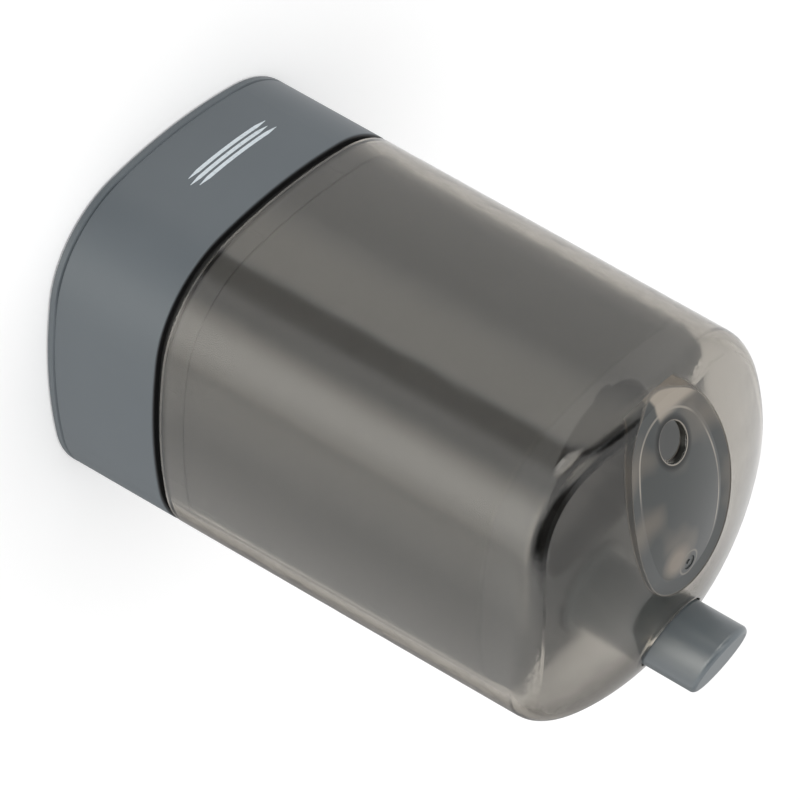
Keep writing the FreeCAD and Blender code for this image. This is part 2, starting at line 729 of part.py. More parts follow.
def make_stem_clip():
    """Open steel clip in the stem's groove."""
    low = clip_low()
    disc = ring(stem_radius + clip_reach, stem_radius - 0.5 + seat_play, 0, button_y,
                low, low + clip_thickness)
    gap = stem_radius - 0.6
    return disc.cut(box(-gap, gap, button_y, button_y + 9, low - 1, low + 9))


def link_pin(y, z):
    """Pin through a stem or lifter that runs in the rocker's slots."""
    half = rocker_half_width + link_pin_proud
    pin = crosswise(link_pin_radius, -half, half, y, z)
    ends = [e for e in pin.Edges if e.BoundBox.XLength < 0.01]
    return pin.makeChamfer(0.25, ends)


def make_return_spring():
    """Compression spring from the washer on the tower to the pocket in the button."""
    low = tower_top + washer_thickness + spring_wire / 2
    rise = spring_pocket_top - spring_wire / 2 - low
    helix = Part.makeHelix(rise / spring_turns, rise, spring_mean_radius)
    circle = Part.Circle(V(spring_mean_radius, 0, 0), V(0, 1, 0), spring_wire / 2)
    profile = Part.Wire([circle.toShape()])
    coil = Part.Wire(helix.Edges).makePipeShell([profile], True, True)
    coil.translate(V(0, button_y, low))
    return coil


# ---- lifter ---------------------------------------------------------------------------------
def cup_foot():
    """Underside of the lifter's cup at rest, on the guide."""
    return funnel_bottom + 0.1


def make_lifter_rod():
    """Steel rod that the rocker raises."""
    lifter = rod(lifter_radius, 0, outlet_y, lifter_pin_z - lifter_tail, cup_foot() + cup_socket)
    ends = [e for e in lifter.Edges if e.BoundBox.ZLength < 0.01]
    lifter = lifter.makeChamfer(0.3, ends)
    return lifter.cut(crosswise(link_pin_radius + seat_play, -9, 9, outlet_y, lifter_pin_z))


def make_lifter_cup():
    """Tip with a dish that centres the pick's point."""
    foot = cup_foot()
    top = foot + cup_height
    cup = rod(cup_radius, 0, outlet_y, foot, top)
    dish = Part.makeCone(0.2, cup_radius - 0.4, cup_dish, V(0, outlet_y, top - cup_dish))
    # a thin sleeve is left round the end of the rod
    socket = rod(lifter_radius + seat_play, 0, outlet_y, foot - 1, foot + cup_socket)
    return cut_all(cup, [dish, socket])


# ---- shell ----------------------------------------------------------------------------------
def make_smoky_shell():
    """Lift-off shell: domed, with a scoop, the outlet and the button's hole."""
    body = domed(0, shell_bottom).cut(domed(shell_wall, shell_bottom - 1))
    tools = [scoop_cutter(), gate_mark(), rod(outlet_radius, 0, outlet_y, hopper_top, ABOVE),
             rod(button_radius + button_hole_play, 0, button_y, hopper_top, ABOVE)]
    body = cut_all(body, tools)
    rim = [e for e in body.Edges if on_ball(e, dome_radius - scoop_depth) and on_outlet(e)]
    body = body.makeFillet(outlet_edge_round, rim)
    mouth = [e for e in body.Edges if e.BoundBox.ZMax < shell_bottom + 0.01 and is_inner_mouth(e)]
    return body.makeChamfer(shell_mouth_bevel, mouth)


def is_inner_mouth(edge):
    """True for an edge on the inside of the shell's open end."""
    mid = edge.valueAt((edge.FirstParameter + edge.LastParameter) / 2)
    side = Part.Face(plan_wire(shell_wall / 2, shell_bottom))
    return side.isInside(mid, 0.01, True)


def scoop_cutter():
    """What the scoop takes out of the dome: a floor that follows it, and a sloped wall."""
    scoop = oval_prism(0, shell_bottom + 10, ABOVE).cut(ball(scoop_depth))
    floor_edges = [e for e in scoop.Edges if on_ball(e, dome_radius - scoop_depth)]
    scoop = scoop.makeChamfer(scoop_depth - scoop_lip, scoop_slope_width, floor_edges)
    scoop.fix(0.0001, 0.0001, 0.001)
    return scoop


def gate_mark():
    """Shallow ring that is left in the scoop's floor round the nub of the mould's gate."""
    mark = ring(gate_mark_radius, gate_nub_radius, 0, gate_mark_y, hopper_top, ABOVE)
    return mark.cut(ball(scoop_depth + gate_mark_depth))


def sample_points(edge):
    """Three points along an edge."""
    span = edge.LastParameter - edge.FirstParameter
    return [edge.valueAt(edge.FirstParameter + span * t) for t in (0.1, 0.5, 0.9)]


def on_outlet(edge):
    """True for an edge that lies on the outlet's wall."""
    return all(abs(math.hypot(p.x, p.y - outlet_y) - outlet_radius) < 0.01
               for p in sample_points(edge))


def on_ball(edge, radius):
    """True for an edge that lies on a sphere round the dome's centre."""
    centre = V(0, 0, dome_centre_z)
    return all(abs((p - centre).Length - radius) < 0.01 for p in sample_points(edge))


# ---- the whole dispenser --------------------------------------------------------------------
NODES = {
    "base_band": make_base_band,
    "bottom_cover": make_bottom_cover,
    "cover_screws": make_cover_screws,
    "foot_pads": make_foot_pads,
    "hopper_tub": make_hopper_tub,
    "hopper_screws": make_hopper_screws,
    "lifter_guide": make_lifter_guide,
    "stem_guide": make_stem_guide,
    "spring_washer": make_spring_washer,
    "fulcrum_bracket": make_fulcrum_bracket,
    "fulcrum_pin": make_fulcrum_pin,
    "fulcrum_clip": make_pin_clip,
    "bracket_screws": make_bracket_screws,
    "smoky_shell": make_smoky_shell,
    "button_cap": make_button_cap,
    "button_stem": make_button_stem,
    "stem_clip": make_stem_clip,
    "stem_pin": lambda: link_pin(button_y, stem_pin_z),
    "return_spring": make_return_spring,
    "rocker_lever": make_rocker,
    "lifter_rod": make_lifter_rod,
    "lifter_cup": make_lifter_cup,
    "lifter_pin": lambda: link_pin(outlet_y, lifter_pin_z),
}


def main():
    """Builds every node and writes one STEP file for each."""
    os.makedirs("parts", exist_ok=True)
    for name, make in NODES.items():
        shape = make()
        shape.exportStep("parts/%s.step" % name)
        print("%-16s solids %d  volume %9.1f mm3" % (name, len(shape.Solids), shape.Volume))
    print("rock angle %.4f deg, lifter travel %.4f mm, stem pin %.3f, lifter pin %.3f"
          % (math.degrees(rock_angle), lifter_travel, stem_pin_z, lifter_pin_z))


main()
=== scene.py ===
"""Looks of a press-button toothpick dispenser.

Satin grey base and button, smoke-tinted clear shell, dark hopper, steel and acetal lifting
gear, a printed mark of three picks on the front, and a white studio with lamps and camera.
"""

import logging
import math
from dataclasses import dataclass
from enum import Enum
from functools import cache

import bmesh
import bpy
from mathutils import Matrix, Vector
from mathutils.bvhtree import BVHTree


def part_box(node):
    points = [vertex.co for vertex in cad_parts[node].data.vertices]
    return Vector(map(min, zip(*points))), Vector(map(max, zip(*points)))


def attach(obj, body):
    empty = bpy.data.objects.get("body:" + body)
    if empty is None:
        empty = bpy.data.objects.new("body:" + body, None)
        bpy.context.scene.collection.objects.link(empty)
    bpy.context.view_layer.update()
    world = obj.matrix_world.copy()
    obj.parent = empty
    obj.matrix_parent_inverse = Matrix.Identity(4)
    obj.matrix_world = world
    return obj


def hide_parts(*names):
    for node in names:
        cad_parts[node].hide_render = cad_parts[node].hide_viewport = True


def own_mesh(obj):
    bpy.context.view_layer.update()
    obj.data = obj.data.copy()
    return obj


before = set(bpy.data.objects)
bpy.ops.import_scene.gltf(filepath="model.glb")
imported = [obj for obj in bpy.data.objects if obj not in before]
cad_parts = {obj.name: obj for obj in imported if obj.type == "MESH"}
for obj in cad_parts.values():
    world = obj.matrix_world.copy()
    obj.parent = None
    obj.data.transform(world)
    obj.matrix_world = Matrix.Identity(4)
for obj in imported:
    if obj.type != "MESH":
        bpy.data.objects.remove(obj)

log = logging.getLogger("dispenser")

Tree = bpy.types.NodeTree
Socket = bpy.types.NodeSocket
Material = bpy.types.Material
Triple = tuple[float, float, float]    # a point, a direction or three measures
Pair = tuple[float, float]             # both ends of a fade, or two measures

MM = 0.001
WHITE = (1.0, 1.0, 1.0, 1.0)
PLAN = (1.0, 1.0, 0.0)                 # leaves the level part of what is multiplied by it
MIX_A, MIX_B, MIX_RESULT = 6, 7, 2     # a colour Mix node's sockets, which share their names
NUMBER_A, NUMBER_B, NUMBER_RESULT = 2, 3, 0        # and those of one that mixes numbers


# ---- colour and node helpers ---------------------------------------------------------------
def linear(srgb: int) -> tuple[float, float, float, float]:
    """Turns an sRGB hex colour into Blender's linear one.

    Args:
        srgb: Colour as 0xRRGGBB.

    Returns:
        Linear red, green and blue, with an alpha of 1.
    """
    channels = (((srgb >> shift) & 0xFF) / 255.0 for shift in (16, 8, 0))
    red, green, blue = (
        c / 12.92 if c <= 0.04045 else ((c + 0.055) / 1.055) ** 2.4 for c in channels)
    return red, green, blue, 1.0


def add_node(tree: Tree, kind: str, inputs: dict | None = None,
             **settings: object) -> bpy.types.Node:
    """Adds one shader node with its settings, input values and links.

    Args:
        tree: Node tree that gets the node.
        kind: Blender's name for the type of node.
        inputs: Input's name or index, to a plain value or to the output socket that feeds it.
        **settings: Properties of the node itself.

    Returns:
        The new node.
    """
    new = tree.nodes.new(kind)
    for name, value in settings.items():
        setattr(new, name, value)
    for key, value in (inputs or {}).items():
        if isinstance(value, Socket):
            tree.links.new(value, new.inputs[key])
        else:
            new.inputs[key].default_value = value
    return new


def blank_material(name: str) -> tuple[Material, Tree]:
    """Makes a material whose node tree is empty.

    Args:
        name: Name of the material.

    Returns:
        The material and its tree.
    """
    material = bpy.data.materials.new(name)
    material.use_nodes = True
    material.node_tree.nodes.clear()
    return material, material.node_tree


def clouded(tree: Tree, colours: tuple[int, int], size_mm: float, span: Pair,
            **texture: float) -> tuple[Socket, Socket]:
    """Lets a second colour drift into the first in soft clouds.

    Args:
        tree: The material's node tree.
        colours: First and second colour, as 0xRRGGBB.
        size_mm: Size of a cloud on the real piece.
        span: Noise at which the second colour starts, and at which it is full.
        **texture: Other inputs of the noise, such as its Detail.

    Returns:
        Sockets with the noise, and with the colour.
    """
    place = add_node(tree, "ShaderNodeTexCoord").outputs["Object"]
    noise = add_node(tree, "ShaderNodeTexNoise", {
        "Vector": place, "Scale": 1 / (size_mm * MM), **texture}).outputs["Fac"]
    share = add_node(tree, "ShaderNodeMapRange", {
        "Value": noise, "From Min": span[0], "From Max": span[1]})
    mixed = add_node(tree, "ShaderNodeMix", {
        "Factor": share.outputs["Result"], MIX_A: linear(colours[0]),
        MIX_B: linear(colours[1])}, data_type="RGBA")
    return noise, mixed.outputs[MIX_RESULT]


# ---- finishes ------------------------------------------------------------------------------
@dataclass(frozen=True)
class MouldedPlastic:
    """Injection-moulded opaque plastic with a satin face: ABS or acetal.

    The mould's fine spark-eroded grain breaks the highlight up, and the colour clouds very
    slightly where the melt flowed.
    """

    name: str
    colour: int
    cloud: int                     # second colour, in the clouds
    roughness: float
    ior: float = 1.53              # of ABS
    sheen: float = 0.5             # the grain traps part of the gloss
    painted_shade_mm: Pair | None = None  # painted shade of the gap under the shell, between these heights
    painted_shade_colour: int = 0x121314
    painted_shade_edge_mm: float = 0.3
    cloud_mm: float = 22.0
    cloud_span: Pair = (0.3, 0.7)
    roughness_spread: float = 0.06
    grain_mm: float = 0.35         # spark erosion is finer, drawn as coarse as needed to show
    grain_height_mm: float = 0.004
    grain_strength: float = 0.35

    def material(self) -> Material:
        """Builds the material.

        Returns:
            The new material.
        """
        material, tree = blank_material(self.name)
        place = add_node(tree, "ShaderNodeTexCoord").outputs["Object"]
        clouds, colour = clouded(tree, (self.colour, self.cloud), self.cloud_mm,
                                 self.cloud_span, Detail=3.0, Roughness=0.55)
        rough = add_node(tree, "ShaderNodeMapRange", {
            "Value": clouds, "To Min": self.roughness - self.roughness_spread,
            "To Max": self.roughness + self.roughness_spread})
        grain = add_node(tree, "ShaderNodeTexNoise", {
            "Vector": place, "Scale": 1 / (self.grain_mm * MM), "Detail": 2.0})
        bump = add_node(tree, "ShaderNodeBump", {
            "Height": grain.outputs["Fac"], "Strength": self.grain_strength,
            "Distance": self.grain_height_mm * MM})
        # Painted shade for the shadow gap between the base and the shell.
        if self.painted_shade_mm:
            colour = self._paint_groove_shade(tree, place, colour)
        shader = add_node(tree, "ShaderNodeBsdfPrincipled", {
            "Base Color": colour, "Roughness": rough.outputs["Result"], "IOR": self.ior,
            "Specular IOR Level": self.sheen, "Normal": bump.outputs["Normal"]})
        add_node(tree, "ShaderNodeOutputMaterial", {"Surface": shader.outputs["BSDF"]})
        return material

    def _paint_groove_shade(self, tree: Tree, place: Socket, colour: Socket) -> Socket:
        """Paints shade into the groove between two heights.

        Args:
            tree: The material's node tree.
            place: Socket with the point of the object.
            colour: Socket with the plastic's colour.

        Returns:
            Socket with the groove's painted shade worked in.
        """
        low, high = self.painted_shade_mm
        half = (high - low) / 2
        height = add_node(tree, "ShaderNodeSeparateXYZ", {"Vector": place})
        centred = add_node(tree, "ShaderNodeMath", {
            0: height.outputs["Z"], 1: (low + high) / 2 * MM}, operation="SUBTRACT")
        away = add_node(tree, "ShaderNodeMath", {0: centred.outputs["Value"]},
                        operation="ABSOLUTE")
        inside = add_node(tree, "ShaderNodeMapRange", {
            "Value": away.outputs["Value"], "From Min": half * MM,
            "From Max": (half - self.painted_shade_edge_mm) * MM})
        return add_node(tree, "ShaderNodeMix", {
            "Factor": inside.outputs["Result"], MIX_A: colour,
            MIX_B: linear(self.painted_shade_colour)}, data_type="RGBA").outputs[MIX_RESULT]


@dataclass(frozen=True)
class Oval:
    """Plan of the scoop in the dome: two end arcs joined by two flatter side arcs."""

    centre_x_mm: float = 0.0
    centre_y_mm: float = -13.3
    half_length_mm: float = 18.2
    half_width_mm: float = 12.4
    end_mm: float = 11.0           # radius of the end arcs
    above_mm: float = 98.0         # the rest of the shell, below this height, isn't in it

    def distance(self, tree: Tree) -> Socket:
        """Works out how far a point of the object lies outside the oval.

        Args:
            tree: Node tree of a material.

        Returns:
            Socket with the distance in metres, negative inside. Below above_mm it is a metre
            too much, so that nothing there counts as near.
        """
        step = self.half_length_mm - self.end_mm       # from the middle to an end's centre
        side = ((self.end_mm ** 2 - self.half_width_mm ** 2 - step ** 2)
                / (2 * (self.end_mm - self.half_width_mm)))        # radius of the side arcs
        reach = side - self.half_width_mm              # from the middle to a side's centre
        place = add_node(tree, "ShaderNodeTexCoord").outputs["Object"]
        shifted = add_node(tree, "ShaderNodeVectorMath", {
            0: place, 1: (-self.centre_x_mm * MM, -self.centre_y_mm * MM, 0.0)},
            operation="ADD")
        folded = add_node(tree, "ShaderNodeVectorMath", {0: shifted.outputs["Vector"]},
                          operation="ABSOLUTE")
        plan = add_node(tree, "ShaderNodeVectorMath", {
            0: folded.outputs["Vector"], 1: PLAN}, operation="MULTIPLY").outputs["Vector"]
        gaps = []
        for centre, radius in (((0.0, step * MM, 0.0), self.end_mm),
                               ((-reach * MM, 0.0, 0.0), side)):
            away = add_node(tree, "ShaderNodeVectorMath", {0: plan, 1: centre},
                            operation="DISTANCE").outputs["Value"]
            gaps.append(add_node(tree, "ShaderNodeMath", {0: away, 1: radius * MM},
                                 operation="SUBTRACT").outputs["Value"])
        from_end, from_side = gaps
        split = add_node(tree, "ShaderNodeVectorMath", {0: plan, 1: (-step, reach, 0.0)},
                         operation="DOT_PRODUCT")
        at_end = add_node(tree, "ShaderNodeMath", {
            0: split.outputs["Value"], 1: step * reach * MM}, operation="GREATER_THAN")
        gap = add_node(tree, "ShaderNodeMix", {
            "Factor": at_end.outputs["Value"], NUMBER_A: from_side, NUMBER_B: from_end},
            data_type="FLOAT")
        height = add_node(tree, "ShaderNodeSeparateXYZ", {"Vector": place})
        below = add_node(tree, "ShaderNodeMath", {
            0: height.outputs["Z"], 1: self.above_mm * MM}, operation="LESS_THAN")
        return add_node(tree, "ShaderNodeMath", {
            0: gap.outputs[NUMBER_RESULT], 1: below.outputs["Value"]},
            operation="ADD").outputs["Value"]


@dataclass(frozen=True)
class SmokeTintedClear:
    """Smoke-tinted clear styrene (AS), moulded in a polished tool.

    The tint is in the plastic, so that thick places and grazing views come out darker and
    warmer. The outside is glossy, with faint rub marks that only show in highlights. The
    scoop is spark-eroded and reads as a dark, even patch, with painted highlight lines along
    its rim and round its floor. What the shoulder's bend, the scoop's front end and the
    outlet's wall mirror in a full room is painted here by place on the shell, as light or
    dark parts: painted reflections, highlights and shade.
    """

    name: str
    tint: int                      # colour that the plastic passes best
    density_per_m: float           # how soon it takes the rest away
    ior: float = 1.57
    face_passes: int = 0xF4F4F4    # part of a lamp's light that one face lets in
    roughness: float = 0.10
    rub_mm: float = 5.0
    rub_span: Pair = (0.35, 0.75)
    rub_share: Pair = (0.7, 1.6)   # roughness of a clean and of a rubbed place, as shares
    scoop: Oval = Oval()
    floor: Oval = Oval(0.6, -13.2, 15.5, 9.7, 8.4)     # edge of the scoop's floor
    eroded: int = 0x404343
    eroded_share: float = 0.85     # the rest of the scoop stays clear
    eroded_roughness: float = 0.3
    smudge: int = 0x6B655D         # the floor's thin places look warmer
    smudge_mm: float = 9.0
    smudge_span: Pair = (0.52, 0.78)
    front_painted_highlight: int = 0xA0978B    # painted highlight where the scoop's front end catches the light on one side
    front_y_mm: Pair = (-27.1, -28.8)
    front_x_mm: Pair = (1.9, 1.1)
    rim: int = 0x77726B            # painted highlights: how the rim and the gate's ring catch the light and the edges of the floor and the outlet
    edge: int = 0x9C958B           # and the edges of the floor and the outlet
    edge_mm: float = 0.24
    edge_core: float = 0.4         # part of a line's half width that has its full colour
    line_patch_mm: float = 13.0    # the floor's edge line comes and goes over this distance
    line_span: Pair = (0.38, 0.6)
    line_least: float = 0.1        # what is left of it in the weakest places
    line_slant: Pair = (0.9, 1.0)  # it fades out along this direction in plan
    line_fade_mm: Pair = (-3.5, -11.0)
    hole_mm: Triple = (0.0, -23.5, 0.0)    # the outlet, with painted shade of its wall round it
    hole_radius_mm: float = 3.3
    hole_painted_shade: int = 0x161818
    hole_painted_shade_mm: float = 1.3
    gate_mm: Triple = (0.2, 0.1, 0.0)      # mark of the mould's gate
    gate_ring_mm: float = 2.2
    stain: int = 0x80776C          # a warm cloud beside the gate
    stain_mm: Triple = (3.4, -2.4, 0.0)
    stain_reach_mm: float = 3.8
    shoulder_painted_dark: float = 0.05  # painted dark reflection and shade: share of the light the shoulder's bend passes
    shoulder_start: Pair = (0.47, 0.60)    # how far up the bend faces where its painted dark sets in
    shoulder_stop: Pair = (0.80, 0.86)     # and where it ends
    shoulder_azimuth_deg: float = -54.0
    shoulder_half_deg: Pair = (24.0, 40.0)

    def material(self) -> Material:
        """Builds the material.

        Returns:
            The new material.
        """
        material, tree = blank_material(self.name)
        place = add_node(tree, "ShaderNodeTexCoord").outputs["Object"]
        rubs = add_node(tree, "ShaderNodeTexNoise", {
            "Vector": place, "Scale": 1 / (self.rub_mm * MM), "Detail": 6.0,
            "Roughness": 0.7})
        rough = add_node(tree, "ShaderNodeMapRange", {
            "Value": rubs.outputs["Fac"], "From Min": self.rub_span[0],
            "From Max": self.rub_span[1], "To Min": self.roughness * self.rub_share[0],
            "To Max": self.roughness * self.rub_share[1]})
        clear = add_node(tree, "ShaderNodeBsdfPrincipled", {
            "Base Color": self._passed_colour_with_painted_dark(tree), "Roughness": rough.outputs["Result"],
            "IOR": self.ior, "Transmission Weight": 1.0})
        share, colour = self._scoop(tree, place)
        dull = add_node(tree, "ShaderNodeBsdfPrincipled", {
            "Base Color": colour, "Roughness": self.eroded_roughness, "IOR": self.ior})
        plastic = add_node(tree, "ShaderNodeMixShader", {
            0: share, 1: clear.outputs["BSDF"], 2: dull.outputs["BSDF"]})
        ray = add_node(tree, "ShaderNodeLightPath")
        passed = add_node(tree, "ShaderNodeBsdfTransparent", {
            "Color": linear(self.face_passes)})
        surface = add_node(tree, "ShaderNodeMixShader", {
            0: ray.outputs["Is Shadow Ray"], 1: plastic.outputs["Shader"],
            2: passed.outputs["BSDF"]})
        smoke = add_node(tree, "ShaderNodeVolumeAbsorption", {
            "Color": linear(self.tint), "Density": self.density_per_m})
        add_node(tree, "ShaderNodeOutputMaterial", {
            "Surface": surface.outputs["Shader"], "Volume": smoke.outputs["Volume"]})
        return material

    def _passed_colour_with_painted_dark(self, tree: Tree) -> Socket:
        """Works out what the surface passes: all of it, save painted dark on the shoulder's
        bend.

        Args:
            tree: The material's node tree.

        Returns:
            Socket with the colour.
        """
        facing = add_node(tree, "ShaderNodeNewGeometry").outputs["Normal"]
        upward = add_node(tree, "ShaderNodeSeparateXYZ", {"Vector": facing}).outputs["Z"]
        level = add_node(tree, "ShaderNodeVectorMath", {0: facing, 1: PLAN},
                         operation="MULTIPLY")
        compass = add_node(tree, "ShaderNodeVectorMath", {0: level.outputs["Vector"]},
                           operation="NORMALIZE")
        turn = math.radians(self.shoulder_azimuth_deg)
        toward = add_node(tree, "ShaderNodeVectorMath", {
            0: compass.outputs["Vector"], 1: (math.cos(turn), math.sin(turn), 0.0)},
            operation="DOT_PRODUCT").outputs["Value"]
        core, edge = (math.cos(math.radians(half)) for half in self.shoulder_half_deg)
        share = 1.0
        for value, start, full in ((upward, *self.shoulder_start),
                                   (upward, *reversed(self.shoulder_stop)),
                                   (toward, edge, core)):
            part = add_node(tree, "ShaderNodeMapRange", {
                "Value": value, "From Min": start, "From Max": full},
                interpolation_type="SMOOTHSTEP")
            share = add_node(tree, "ShaderNodeMath", {
                0: share, 1: part.outputs["Result"]}, operation="MULTIPLY").outputs["Value"]
        # The shoulder's dark band is painted: a dark reflection and the shade seen through
        # the bend.
        dark = self.shoulder_painted_dark
        return add_node(tree, "ShaderNodeMix", {
            "Factor": share, MIX_A: WHITE, MIX_B: (dark, dark, dark, 1.0)},
            data_type="RGBA").outputs[MIX_RESULT]

    def _scoop(self, tree: Tree, place: Socket) -> tuple[Socket, Socket]:
        """Works out where the scoop is dull, and its colour with painted highlights and
        shade.

        Args:
            tree: The material's node tree.
            place: Socket with the point of the object.

        Returns:
            Sockets with the share of the dull surface, and with its colour.
        """
        plan = add_node(tree, "ShaderNodeVectorMath", {0: place, 1: PLAN},
                        operation="MULTIPLY").outputs["Vector"]
        from_hole, from_gate, from_stain = (
            add_node(tree, "ShaderNodeVectorMath", {
                0: plan, 1: tuple(v * MM for v in middle)},
                operation="DISTANCE").outputs["Value"]
            for middle in (self.hole_mm, self.gate_mm, self.stain_mm))
        from_rim, from_floor = self.scoop.distance(tree), self.floor.distance(tree)
        inside = add_node(tree, "ShaderNodeMapRange", {
            "Value": from_rim, "From Min": self.edge_mm * MM,
            "From Max": -self.edge_mm * MM, "To Max": self.eroded_share})
        off_hole = add_node(tree, "ShaderNodeMath", {
            0: from_hole, 1: self.hole_radius_mm * MM}, operation="GREATER_THAN")
        share = add_node(tree, "ShaderNodeMath", {
            0: inside.outputs["Result"], 1: off_hole.outputs["Value"]}, operation="MULTIPLY")
        colour = self._floor_colour(tree, place)
        # Besides a warm patch, the rows paint highlight lines on the rim, the gate's ring and
        # the edges, and shade round the outlet.
        # Each row: distance, where on it the line or patch lies, its reach, colour, strength.
        hole, fine = self.hole_radius_mm, self.edge_mm
        for distance, at_mm, reach_mm, shade, strength in (
                (from_stain, 0.0, self.stain_reach_mm, self.stain, 1.0),
                (from_hole, hole, self.hole_painted_shade_mm, self.hole_painted_shade, 1.0),
                (from_hole, hole, fine, self.edge, 1.0),
                (from_gate, self.gate_ring_mm, fine, self.rim, 1.0),
                (from_rim, 0.0, fine, self.rim, 1.0),
                (from_floor, 0.0, fine, self.edge, self._line_strength(tree, place))):
            gap = add_node(tree, "ShaderNodeMath", {0: distance, 1: at_mm * MM},
                           operation="SUBTRACT")
            away = add_node(tree, "ShaderNodeMath", {0: gap.outputs["Value"]},
                            operation="ABSOLUTE")
            near = add_node(tree, "ShaderNodeMapRange", {
                "Value": away.outputs["Value"], "From Min": reach_mm * MM,
                "From Max": reach_mm * MM * self.edge_core})
            part = add_node(tree, "ShaderNodeMath", {
                0: near.outputs["Result"], 1: strength}, operation="MULTIPLY")
            colour = add_node(tree, "ShaderNodeMix", {
                "Factor": part.outputs["Value"], MIX_A: colour, MIX_B: linear(shade)},
                data_type="RGBA").outputs[MIX_RESULT]
        return share.outputs["Value"], colour

    def _floor_colour(self, tree: Tree, place: Socket) -> Socket:
        """Works out the scoop's colour, with its smudges and a painted highlight at its front
        end.

        Args:
            tree: The material's node tree.
            place: Socket with the point of the object.

        Returns:
            Socket with the colour.
        """
        axes = add_node(tree, "ShaderNodeSeparateXYZ", {"Vector": place})
        ahead, beside = (
            add_node(tree, "ShaderNodeMapRange", {
                "Value": axes.outputs[axis], "From Min": start * MM, "From Max": full * MM},
                interpolation_type="SMOOTHSTEP").outputs["Result"]
            for axis, (start, full) in (("Y", self.front_y_mm), ("X", self.front_x_mm)))
        # Painted highlight on one side of the scoop's front end.
        bright = add_node(tree, "ShaderNodeMath", {0: ahead, 1: beside},
                          operation="MULTIPLY")
        _, colour = clouded(tree, (self.eroded, self.smudge), self.smudge_mm,
                            self.smudge_span, Detail=1.0)
        return add_node(tree, "ShaderNodeMix", {
            "Factor": bright.outputs["Value"], MIX_A: colour,
            MIX_B: linear(self.front_painted_highlight)}, data_type="RGBA").outputs[MIX_RESULT]

    def _line_strength(self, tree: Tree, place: Socket) -> Socket:
        """Works out how much of the floor's edge line shows: patches of it, at the front.

        Args:
            tree: The material's node tree.
            place: Socket with the point of the object.

        Returns:
            Socket with the share, 1 for the whole line.
        """
        patches = add_node(tree, "ShaderNodeTexNoise", {
            "Vector": place, "Scale": 1 / (self.line_patch_mm * MM)})
        lit = add_node(tree, "ShaderNodeMapRange", {
            "Value": patches.outputs["Fac"], "From Min": self.line_span[0],
            "From Max": self.line_span[1], "To Min": self.line_least})
        slant = add_node(tree, "ShaderNodeVectorMath", {
            0: place, 1: (*self.line_slant, 0.0)}, operation="DOT_PRODUCT")
        return add_node(tree, "ShaderNodeMapRange", {
            "Value": slant.outputs["Value"], "From Min": self.line_fade_mm[0] * MM,
            "From Max": self.line_fade_mm[1] * MM,
            "To Max": lit.outputs["Result"]}).outputs["Result"]


class Draw(Enum):
    """Way that a steel piece's fine lines run."""

    ALONG_X = "x"
    ALONG_Z = "z"
    EVEN = "even"


@dataclass(frozen=True)
class SteelStock:
    """Steel that was drawn, ground or rolled, bare or zinc-plated.

    Drawing leaves fine lines along the stock that stretch the highlight; plating leaves it
    even with faint cloudy patches.
    """

    name: str
    colour: int
    roughness: float
    draw: Draw
    line_mm: float = 0.12
    line_stretch: float = 30.0
    line_strength: float = 0.2
    line_height_mm: float = 0.005
    roughness_spread: float = 0.08

    def material(self) -> Material:
        """Builds the material.

        Returns:
            The new material.
        """
        material, tree = blank_material(self.name)
        place = add_node(tree, "ShaderNodeTexCoord").outputs["Object"]
        fine = 1 / (self.line_mm * MM)
        slow = fine / self.line_stretch
        scale = {Draw.ALONG_X: (slow, fine, fine), Draw.ALONG_Z: (fine, fine, slow),
                 Draw.EVEN: (slow, slow, slow)}[self.draw]
        stretched = add_node(tree, "ShaderNodeMapping", {"Vector": place, "Scale": scale})
        lines = add_node(tree, "ShaderNodeTexNoise", {
            "Vector": stretched.outputs["Vector"], "Scale": 1.0, "Detail": 3.0})
        rough = add_node(tree, "ShaderNodeMapRange", {
            "Value": lines.outputs["Fac"], "To Min": self.roughness - self.roughness_spread,
            "To Max": self.roughness + self.roughness_spread})
        bump = add_node(tree, "ShaderNodeBump", {
            "Height": lines.outputs["Fac"], "Strength": self.line_strength,
            "Distance": self.line_height_mm * MM})
        shader = add_node(tree, "ShaderNodeBsdfPrincipled", {
            "Base Color": linear(self.colour), "Metallic": 1.0,
            "Roughness": rough.outputs["Result"], "Normal": bump.outputs["Normal"]})
        add_node(tree, "ShaderNodeOutputMaterial", {"Surface": shader.outputs["BSDF"]})
        return material


@dataclass(frozen=True)
class PadRubber:
    """Die-cut black rubber: dead matt, with a fine talc bloom."""

    name: str = "die_cut_rubber"
    colour: int = 0x1C1C1D
    bloom: int = 0x303031
    bloom_mm: float = 1.5
    bloom_span: Pair = (0.4, 0.8)
    bloom_strength: float = 0.3
    bloom_height_mm: float = 0.02
    roughness: float = 0.82
    ior: float = 1.52

    def material(self) -> Material:
        """Builds the material.

        Returns:
            The new material.
        """
        material, tree = blank_material(self.name)
        talc, colour = clouded(tree, (self.colour, self.bloom), self.bloom_mm,
                               self.bloom_span, Detail=5.0)
        bump = add_node(tree, "ShaderNodeBump", {
            "Height": talc, "Strength": self.bloom_strength,
            "Distance": self.bloom_height_mm * MM})
        shader = add_node(tree, "ShaderNodeBsdfPrincipled", {
            "Base Color": colour, "Roughness": self.roughness, "IOR": self.ior,
            "Normal": bump.outputs["Normal"]})
        add_node(tree, "ShaderNodeOutputMaterial", {"Surface": shader.outputs["BSDF"]})
        return material


